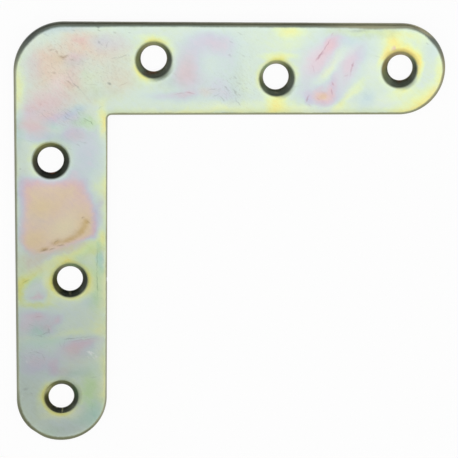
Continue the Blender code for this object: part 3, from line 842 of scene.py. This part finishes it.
edges = {
    "front": (-0.3, -0.1),   # tilts of the surface between which the back face gives way to the rest
    # the tear and the sheared wall are painted dark: partly their own duller film, partly painted shade, as
    # they face away from the light
    "tearTone": colour(112, 104, 78),
    "tearTop": (0.62, 0.42), # heights between which the tear begins
    "shearTone": colour(84, 88, 80),
    "wallTop": (1.35, 1.05),     # and the sheared wall
    "ragged": {              # how far chance moves each border
        "band": 0.16, "tone": 0.10, "tear": 0.3, "wall": 0.2, "rimTint": 0.3, "rim": 0.08, "paintedWallShade": 0.15,
    },
    "deepBandShade": [            # the drawn-down edge, painted dark as painted shade, by which way it faces: down the sheet to up the sheet
        (0.00, colour(140, 142, 112)),
        (0.50, colour(146, 147, 122)),
        (0.68, colour(116, 120, 104)),
        (0.85, colour(90, 92, 82)),
        (1.00, colour(118, 119, 100)),
    ],
    "paleBandShade": [            # the same painted shade, nearer the face
        (0.00, colour(158, 163, 132)),
        (0.50, colour(182, 188, 160)),
        (0.68, colour(138, 148, 132)),
        (0.85, colour(104, 113, 106)),
        (1.00, colour(120, 136, 128)),
    ],
    "bandTints": {           # where the rolled edge's painted shade has another tone, gleam being a painted highlight: centre, half sizes, turn, share
        "olive": {"tone": colour(168, 166, 134), "spots": [
            (71, 10.4, 9, 2.4, 0, 0.8), (44, 10.5, 8, 1.6, 0, 0.26),
        ]},
        "steel": {"tone": colour(92, 100, 100), "spots": [
            (-7.6, 7.6, 6.5, 2.4, 45, 0.5), (2, 10.4, 8, 1.6, 0, 0.35),
        ]},
        "slate": {"tone": colour(118, 126, 118), "spots": [
            (86.4, 7.2, 3.8, 2, -50, 0.7), (-10.6, -48, 1.6, 34, 0, 0.45),
        ]},
        "dark": {"tone": colour(92, 97, 74), "spots": [
            (-2, -89, 9, 3, 0, 0.6), (-9.4, -83.6, 2.4, 5, 24, 0.75), (7.4, -86.6, 3, 3, 0, 0.35),
        ]},
        "amber": {"tone": colour(160, 146, 100), "spots": [
            (89, -0.6, 1.8, 4, 0, 0.4), (86.4, -7.4, 2.6, 2, 45, 0.35),
        ]},
        "gleam": {"tone": colour(196, 190, 156), "spots": [
            (83.6, 9.1, 2.6, 0.4, -31, 0.75), (80.4, 10.1, 1.6, 0.3, -10, 0.35),
        ]},
    },
    "bandEnd": (1.06, 0.62),     # shares of the drawn-down width between which the dark band fades
    "bandPale": (0.25, 0.85),
    "streaks": 0.4,          # how strongly lines drawn along the rolled edge show
    "streakLeast": 0.06,
    "lineCount": 5.0,
    "lineScale": 0.25,
    "rimTintEnd": (0.85, 0.05),
    "rimTints": {            # what the face shows close round the countersinks
        "shade": {"tone": colour(112, 124, 112), "spots": [
            (23.4, -2, 2.6, 2, 20, 0.85), (81, -3.8, 2.2, 1.8, 30, 0.55), (52.4, -5.8, 2, 1.6, 30, 0.5),
            (4.6, -76.6, 1.6, 3, 0, 0.34), (1, -73.4, 2.6, 1.6, 0, 0.25),
        ]},
        "amber": {"tone": colour(202, 174, 92), "spots": [
            (77.6, 5, 3.4, 2, 0, 0.72), (82, 2.4, 1.6, 2.4, 30, 0.45),
        ]},
        "straw": {"tone": colour(228, 224, 116), "spots": [
            (49.6, 3, 3.4, 2, 0, 0.8), (-2.8, -50.6, 2, 4, 0, 0.75), (7, -49.4, 1.8, 4, 0, 0.7),
            (2, -45, 3.6, 1.6, 0, 0.5), (-4.6, -78.6, 1.8, 3.6, 0, 0.7), (-0.8, -83, 3.6, 1.8, 0, 0.7),
            (17.4, -1, 2.4, 2, 0, 0.6), (20.8, 7, 3.4, 1.8, 0, 0.5), (44.8, -2, 1.4, 3, 0, 0.35),
            (2.2, -54.4, 3, 1.6, 0, 0.45),
        ]},
    },
    "sinkRim": (0.17, -0.50),
    # the way the countersink walls are lit in paint: walls facing it get painted light, walls turned from it
    # painted shade
    "sinkPaintedLightFrom": (0.55, -0.83, 0.0),
    # painted shade for the deep throat of each hole; also the darker tone of streaks along the drawn-down
    # edge and of the tool rings
    "sinkLow": colour(104, 104, 88),
    "sinkShadeByFacing": [            # painted shade to painted light on a countersink's wall, from the side that turns its back to that way
        (0.00, colour(90, 96, 87)),
        (0.25, colour(90, 96, 86)),
        (0.50, colour(102, 112, 87)),
        (0.75, colour(128, 134, 92)),
        (0.91, colour(146, 152, 110)),
        (1.00, colour(154, 151, 108)),
    ],
    "shadeByFacingGain": 0.7,
    "sinkFar": colour(150, 161, 142),      # painted light on the wall that faces the dim side of the room; also the pale streaks along the drawn-down edge
    "farSide": (0.30, 0.72),
    "throatTop": 0.7,
    "throatFade": 0.7,
    "toolMarks": {"rings": 7.0, "wander": 9.0, "from": 0.4, "depth": 0.6},
    "sinkTints": {
        # deep: painted shadow, near black, on the countersink walls' dim side
        "deep": {"tone": colour(36, 39, 35), "spots": [
            (-2.2, -22, 3.8, 3.8, 0, 1.1), (1.6, -50.4, 3.4, 3.4, 0, 1.2), (-0.8, -78.8, 3.6, 3.6, 0, 1.2),
        ]},
        "moss": {"tone": colour(112, 112, 40), "spots": [
            (-1.6, -50.8, 1.2, 2.8, 10, 0.6), (-3.6, -79.4, 1.2, 2.6, 8, 0.6),
        ]},
        # olive: painted highlight on the upper-left walls
        "olive": {"tone": colour(164, 164, 96), "spots": [
            (-3.1, -76.3, 1, 1.8, -38, 0.66), (-4.6, -17.8, 1, 1.8, -38, 0.4),
            (-1.6, -17.2, 2.4, 0.5, 10, 0.34),
        ]},
        "brown": {"tone": colour(158, 124, 78), "spots": [
            (77.4, 3.8, 3, 0.8, -4, 0.45), (74.8, 1.7, 0.8, 2.2, -20, 0.36),
        ]},
        # tan: painted highlight on a hole's upper-left walls
        "tan": {"tone": colour(190, 166, 124), "spots": [
            (76, 2.9, 1.2, 0.5, 42, 0.4), (75.2, 1.4, 0.4, 1.2, -20, 0.3),
        ]},
        "green": {"tone": colour(88, 140, 92), "spots": [
            (46.9, 0.7, 1.4, 1, 40, 0.5), (2.8, -46, 1.8, 0.7, 0, 0.35), (3.4, -77, 0.8, 1.6, 0, 0.25),
        ]},
        "plum": {"tone": colour(58, 46, 58), "spots": [
            (-3.6, -79.8, 1.1, 2, 20, 0.6), (-1.7, -50.8, 1, 1.7, 14, 0.5), (-5.8, -22.2, 1.1, 2, 14, 0.4),
            (-3.4, -24.2, 1.8, 0.8, -30, 0.3), (0, -82, 2.4, 0.7, 0, 0.25),
        ]},
        "rust": {"tone": colour(170, 104, 70), "spots": [
            (20.7, -1, 1.3, 0.35, 0, 0.45), (-1.9, -24.2, 0.7, 0.3, 0, 0.35),
            (78.6, -2.9, 0.5, 0.3, 0, 0.35),
        ]},
        "glint": {"tone": colour(236, 232, 190), "spots": [
            (0.1, -81.9, 0.16, 0.4, 0, 0.55), (-3.3, -76.5, 0.35, 1, -38, 0.45),
            (49.7, -5.5, 0.5, 0.14, 0, 0.35), (2, -53, 0.3, 0.3, 0, 0.3),
            (-1.2, -81.2, 0.25, 0.15, 0, 0.3),
        ]},
    },
}


def laid(sheet, place, turn, long, wide, centre=(0, 0)):
    # the place seen from a centre, in a frame turned by turn degrees, with lengths divided by long and wide
    return sheet.add("ShaderNodeMapping", {"vector_type": "TEXTURE"},
                     {"Vector": place, "Location": (*centre, 0), "Rotation": (0, 0, math.radians(turn)),
                      "Scale": (long, wide, 1)})


def spot(sheet, place, x, y, long, wide, turn, outer=2.0, inner=0.0):
    # a soft oval: 1 inside inner times its size, half at about its size, 0 beyond outer times its size
    local = laid(sheet, place, turn, long * outer, wide * outer, (x, y))
    ball = sheet.add("ShaderNodeTexGradient", {"gradient_type": "SPHERICAL"}, {"Vector": local}, "Fac")
    return ball.ease(0.0, 1 - inner / outer)


def tinted(sheet, place, body, tints, strength=1.0):
    # the body colour with each tint's soft spots laid over it
    for tint in tints.values():
        share = 0.0
        for x, y, long, wide, turn, part in tint["spots"]:
            share = spot(sheet, place, x, y, long, wide, turn) * part + share
        body = sheet.mix(share * strength, body, tint["tone"])
    return body


def scratch(sheet, place, x0, y0, x1, y1, width):
    length = math.hypot(x1 - x0, y1 - y0) / 2 + width
    turn = math.degrees(math.atan2(y1 - y0, x1 - x0))
    return spot(sheet, place, (x0 + x1) / 2, (y0 + y1) / 2, length, width, turn, 1.4, 0.1)


def scratched(sheet, place, body, strength):
    # the body colour with each mark's thin lines drawn over it
    for mark in marks.values():
        share = 0.0
        for x0, y0, x1, y1, width, part in mark["lines"]:
            share = scratch(sheet, place, x0, y0, x1, y1, width) * part + share
        body = sheet.mix(share * strength, body, mark["tone"])
    return body


def shieldShare(sheet, place):
    # 1 inside all of the shield's sides, falling off softly across each of them
    share = 1.0
    for x, y, facing, soft in shield["sides"]:
        out = (math.cos(math.radians(facing)), math.sin(math.radians(facing)), 0)
        beyond = sheet.add("ShaderNodeVectorMath", {"operation": "DOT_PRODUCT"}, {0: place, 1: out}, "Value")
        limit = x * out[0] + y * out[1]
        share = beyond.ease(limit + soft, limit - soft) * share
    return share


def stirred(sheet, place, scale, reach):
    # the place moved about by noise, so that nothing drawn there has a clean outline
    swirl = sheet.shift(sheet.noise(place, scale, 2.0, 0.5, "Color"), (0.5, 0.5, 0.5), "SUBTRACT")
    return sheet.shift(place, sheet.shift(swirl, (2 * reach, 2 * reach, 0), "MULTIPLY"))


def plateReadings(sheet):
    # what the finish reads at each point of the plate: places in mm, measures from the mesh, and chance
    on = SimpleNamespace()
    metres = sheet.add("ShaderNodeTexCoord", {}, {}, "Object")
    on.place = sheet.shift(metres, (1 / mm, 1 / mm, 1 / mm), "MULTIPLY")
    on.height = sheet.add("ShaderNodeSeparateXYZ", {}, {0: on.place}, "Z")
    on.normal = sheet.add("ShaderNodeNewGeometry", {}, {}, "Normal")
    on.upright = sheet.add("ShaderNodeSeparateXYZ", {}, {0: on.normal}, "Z")
    on.edgeDepth, on.gap, on.rollShare, on.edgeFacing = [
        sheet.add("ShaderNodeAttribute", {"attribute_name": name}, {}, "Fac")
        for name in ("edgeDepth", "rimGap", "rollShare", "edgeFacing")]
    on.back = on.upright.ease(*film["backTurn"])

    # the back reads its own stretch of the pattern, far from the front's patches
    aside = sheet.add("ShaderNodeCombineXYZ", {}, {"X": on.back * film["backAside"]})
    on.flat = sheet.shift(sheet.shift(on.place, (1, 1, 0), "MULTIPLY"), aside)
    on.wander = on.flat
    for reach, scale in zip(film["warp"], film["warpScale"]):
        on.wander = stirred(sheet, on.wander, scale, reach)
    on.drawn = stirred(sheet, on.flat, film["drawnScale"], film["drawn"])
    streaks = laid(sheet, on.wander, film["smearTurn"], film["smearStretch"], 1)

    on.slow = sheet.noise(on.flat, *chance["slow"])
    on.fine = sheet.noise(on.flat, *chance["fine"])
    on.smear = sheet.noise(streaks, *chance["smear"])
    on.speckle = sheet.noise(on.flat, *chance["speckle"])
    return on


def filmThickness(sheet, on):
    thickness = film["base"] + (on.slow - 0.5) * (2 * film["drift"] * (1 + film["backDrift"] * on.back))
    thickness = thickness + (on.fine - 0.5) * (2 * film["ripple"]) + (on.speckle - 0.5) * film["speckle"]
    thickness = thickness + (on.smear - 0.5) * (2 * film["smear"])
    for patches in filmPatches.values():
        for x, y, long, wide, turn, change, *rim in patches:
            soft = rim[0] if rim else 1.0
            share = spot(sheet, on.wander, x, y, long, wide, turn, 1 + soft, 1 - soft)
            thickness = thickness + share * change
    thickness = thickness + shieldShare(sheet, on.wander) * shield["change"]
    edgeNear = on.edgeDepth.ease(film["haloReach"], 0.0)
    rimNear = on.gap.ease(film["haloReach"], 0.0)
    thickness = thickness + edgeNear * film["edgeHalo"] * (on.slow * film["edgeUneven"])
    return thickness + rimNear * film["rimHalo"] * (on.fine * film["rimUneven"])


def faceColour(sheet, on):
    # the film's own colour, then stains, rubbed grit, thin marks and an uneven dusk
    body = sheet.add("ShaderNodeValToRGB", {"stops": film["stops"]}, {0: filmThickness(sheet, on)})
    patchy = 1.0 + (on.smear - 0.5) * wear["stainSmear"] + (on.fine - 0.5) * wear["stainFine"]
    body = tinted(sheet, on.wander, body, stains, patchy)
    grit = laid(sheet, on.drawn, scuffs["turn"], scuffs["long"], scuffs["wide"])
    grit = sheet.noise(grit, *chance["grit"]).ease(*scuffs["shownFrom"])
    body = tinted(sheet, on.flat, body, {"rubbed": scuffs}, grit)
    body = scratched(sheet, on.drawn, body, wear["markLeast"] + wear["markFine"] * on.fine)
    dusk = (on.smear - 0.5) * wear["duskSmear"] + (on.speckle - 0.5) * wear["duskSpeckle"]
    dusk = dusk + (on.fine - 0.5) * wear["duskFine"]
    return sheet.mix(wear["duskLeast"] + dusk, body, wear["duskTone"])


def edgeColour(sheet, on, body):
    # the drawn-down edge, the sheared wall and the tear below it, painted dark as painted shade, lighter or
    # darker by which way the edge faces
    rough = edges["ragged"]
    facing = on.edgeFacing * 0.5 + 0.5       # 0 down the sheet, 1 up the sheet
    on.banded = (on.rollShare + on.ragged * rough["band"]).ease(*edges["bandEnd"])
    on.banded = on.banded * on.upright.ease(*edges["front"])
    # the band's painted shade, lighter or darker by which way the edge faces
    deep, pale = [
        sheet.add("ShaderNodeValToRGB", {"stops": edges[name]}, {0: facing + on.ragged * rough["tone"]})
        for name in ("deepBandShade", "paleBandShade")]
    band = sheet.mix((on.rollShare + on.ragged * rough["tone"]).ease(*edges["bandPale"]), deep, pale)
    band = tinted(sheet, on.flat, band, edges["bandTints"])
    lines = sheet.add("ShaderNodeCombineXYZ", {}, {"Z": on.rollShare * edges["lineCount"]})
    along = edges["lineScale"]
    lines = sheet.shift(sheet.shift(on.flat, (along, along, 0), "MULTIPLY"), lines)
    lines = sheet.noise(lines, *chance["lines"])
    darker = (lines - 0.5) * edges["streaks"] + edges["streakLeast"]
    band = sheet.mix(darker, band, edges["sinkLow"], "MULTIPLY")
    band = sheet.mix((0.5 - lines) * edges["streaks"], band, edges["sinkFar"])
    # the tear and sheared wall: their own duller film and painted shade
    torn = (on.height + on.ragged * rough["tear"]).ease(*edges["tearTop"])
    wall = sheet.mix(torn, edges["shearTone"], edges["tearTone"])
    wallShare = (on.height + on.ragged * rough["wall"]).ease(*edges["wallTop"])
    return sheet.mix(on.banded, body, sheet.mix(wallShare, band, wall))


def sinkColour(sheet, on, body):
    # the countersinks are painted dark, as painted shade in the hollows, with painted light and shade by
    # which way each wall faces; the face close round them takes a tint and some painted shade
    rough = edges["ragged"]
    close = (on.gap + on.ragged * rough["rimTint"]).ease(*edges["rimTintEnd"])
    body = tinted(sheet, on.flat, body, edges["rimTints"], close)
    sunk = (on.gap + on.ragged * rough["rim"]).ease(*edges["sinkRim"]) * on.upright.ease(*edges["front"])
    # painted light and shade on each countersink wall, by which way it faces
    toward = sheet.add("ShaderNodeVectorMath", {"operation": "DOT_PRODUCT"},
                       {0: on.normal, 1: edges["sinkPaintedLightFrom"]}, "Value")
    paintedWallShade = toward * edges["shadeByFacingGain"] + 0.5 + on.ragged * rough["paintedWallShade"]
    paintedWallShade = sheet.add("ShaderNodeValToRGB", {"stops": edges["sinkShadeByFacing"]}, {0: paintedWallShade})
    # painted light on the walls that face +Y
    farSide = sheet.add("ShaderNodeSeparateXYZ", {}, {0: on.normal}, "Y").ease(*edges["farSide"])
    paintedWallShade = sheet.mix(farSide, paintedWallShade, edges["sinkFar"])
    tone = sheet.mix((on.height - edges["throatTop"]).ease(0.0, edges["throatFade"]), edges["sinkLow"], paintedWallShade)
    tone = tinted(sheet, on.drawn, tone, edges["sinkTints"])
    tool = edges["toolMarks"]
    turned = sheet.add("ShaderNodeCombineXYZ", {},
                       {"X": on.gap * tool["rings"], "Y": on.slow * tool["wander"]})
    turned = sheet.noise(turned, *chance["turned"])
    tone = sheet.mix((turned - tool["from"]) * tool["depth"], tone, edges["sinkLow"], "MULTIPLY")
    return sheet.mix(sunk, body, tone)


def zincFinish():
    material = bpy.data.materials.new("passivatedZinc")
    sheet = Sheet(material)
    on = plateReadings(sheet)
    body = faceColour(sheet, on)
    on.ragged = sheet.noise(on.place, *chance["ragged"]) - 0.5
    body = edgeColour(sheet, on, body)
    body = sinkColour(sheet, on, body)
    roughness = gloss["roughness"] + (on.fine - 0.5) * gloss["fine"] + on.banded * gloss["edge"]
    roughness = roughness + (on.speckle - 0.5) * gloss["speckle"]
    grain = sheet.noise(on.place, *chance["grain"])
    bump = sheet.add("ShaderNodeBump", {},
                     {"Strength": gloss["bump"], "Distance": gloss["bumpHeight"] * mm, "Height": grain})
    shader = sheet.add("ShaderNodeBsdfPrincipled", {},
                       {"Base Color": body, "Metallic": 1.0, "Roughness": roughness, "Normal": bump})
    sheet.add("ShaderNodeOutputMaterial", {}, {"Surface": shader})
    patchCount = sum(len(patches) for patches in filmPatches.values())
    print("finish:", patchCount, "film patches,", len(sheet.tree.nodes), "nodes")
    return material


bracePlate.data.materials.append(zincFinish())


# Stage

stage = {
    "floorSize": 12.0,
    "floorDrop": 0.0001,
    "floorColour": (0.86, 0.86, 0.86, 1.0),
    "floorShown": 0.93,      # how much of the floor that the camera sees is plain white
    "lampSize": 0.9,
    "lampPlace": (0.35, -0.15, 1.2),
    "lampAim": (0.035, -0.035, 0),
    "lampPower": 0.6,
}


def backgroundShare(sheet):
    # 1 for what the camera, a reflection or a transmission sees
    rays = ("Is Camera Ray", "Is Glossy Ray", "Is Transmission Ray")
    seen = [sheet.add("ShaderNodeLightPath", {}, {}, ray) for ray in rays]
    return (seen[0] + seen[1] + seen[2]).upTo(1.0)


def flatBoard(name, width, depth):
    x, y = width / 2, depth / 2
    mesh = bpy.data.meshes.new(name)
    mesh.from_pydata([(-x, -y, 0), (x, -y, 0), (x, y, 0), (-x, y, 0)], [], [(0, 1, 2, 3)])
    board = bpy.data.objects.new(name, mesh)
    bpy.context.scene.collection.objects.link(board)
    return board


def makeFloor():
    floor = flatBoard("floor", stage["floorSize"], stage["floorSize"])
    floor.location.z = plateLow.z - stage["floorDrop"]
    material = bpy.data.materials.new("paleFloor")
    sheet = Sheet(material)
    matt = sheet.add("ShaderNodeBsdfDiffuse", {}, {"Color": stage["floorColour"]})
    white = sheet.add("ShaderNodeEmission", {}, {"Color": (1, 1, 1, 1), "Strength": 1.0})
    share = backgroundShare(sheet) * stage["floorShown"]
    sheet.add("ShaderNodeOutputMaterial", {},
              {"Surface": sheet.add("ShaderNodeMixShader", {}, {0: share, 1: matt, 2: white})})
    floor.data.materials.append(material)


def makeWorld():
    world = bpy.data.worlds.new("paleRoom")
    bpy.context.scene.world = world
    sheet = Sheet(world)
    sheet.add("ShaderNodeOutputWorld", {},
              {"Surface": sheet.add("ShaderNodeBackground", {}, {"Color": (1, 1, 1, 1), "Strength": 1.0})})


cards = {
    "farDark": {"centre": (0.0, 1.0, 0.62), "size": (2.6, 1.1), "lean": 62, "shade": 0.02},
    "lowerGrey": {"centre": (-0.02, -0.42, 0.95), "size": (0.9, 0.35), "lean": -22, "shade": 0.18},
}


def makeCard(name, card):
    # a studio card that only reflections and light meet
    board = flatBoard(name, *card["size"])
    board.location = card["centre"]
    board.rotation_euler = (math.radians(card["lean"]), 0, 0)
    board.visible_camera = False
    material = bpy.data.materials.new(name)
    sheet = Sheet(material)
    shade = card["shade"]
    sheet.add("ShaderNodeOutputMaterial", {},
              {"Surface": sheet.add("ShaderNodeBsdfDiffuse", {}, {"Color": (shade, shade, shade, 1)})})
    board.data.materials.append(material)


def makeLamp():
    lamp = bpy.data.lights.new("softLamp", "AREA")
    lamp.shape, lamp.size, lamp.energy = "SQUARE", stage["lampSize"], stage["lampPower"]
    holder = bpy.data.objects.new("softLamp", lamp)
    holder.location = stage["lampPlace"]
    aim = Vector(stage["lampAim"]) - holder.location
    holder.rotation_euler = aim.to_track_quat("-Z", "Y").to_euler()
    bpy.context.scene.collection.objects.link(holder)


makeFloor()
makeWorld()
for name, card in cards.items():
    makeCard(name, card)
makeLamp()
print("stage set")


# Camera, at the photograph's angle: above the far edge and a little to the left

view = {
    "tilt": 13.613,
    "turn": 7.091,
    "roll": 0.572,
    "distance": 0.40295,
    "slide": (0.00007, 0.00116),
    "lens": 134.24,
    "sensor": 36.0,
    "clip": (0.01, 20),
}


def makeCamera():
    data = bpy.data.cameras.new("camera")
    data.lens, data.sensor_width = view["lens"], view["sensor"]
    data.clip_start, data.clip_end = view["clip"]
    camera = bpy.data.objects.new("camera", data)
    middle = Vector(((plateLow.x + plateHigh.x) / 2, (plateLow.y + plateHigh.y) / 2, 0))
    turned = (Matrix.Rotation(math.radians(-view["tilt"]), 3, "X")
              @ Matrix.Rotation(math.radians(-view["turn"]), 3, "Y")
              @ Matrix.Rotation(math.radians(-view["roll"]), 3, "Z"))
    place = middle + turned @ Vector((*view["slide"], view["distance"]))
    camera.matrix_world = Matrix.Translation(place) @ turned.to_4x4()
    bpy.context.scene.collection.objects.link(camera)
    bpy.context.scene.camera = camera


makeCamera()
bpy.context.scene.view_settings.view_transform = "Standard"
print("camera at", [round(v, 4) for v in bpy.context.scene.camera.location])
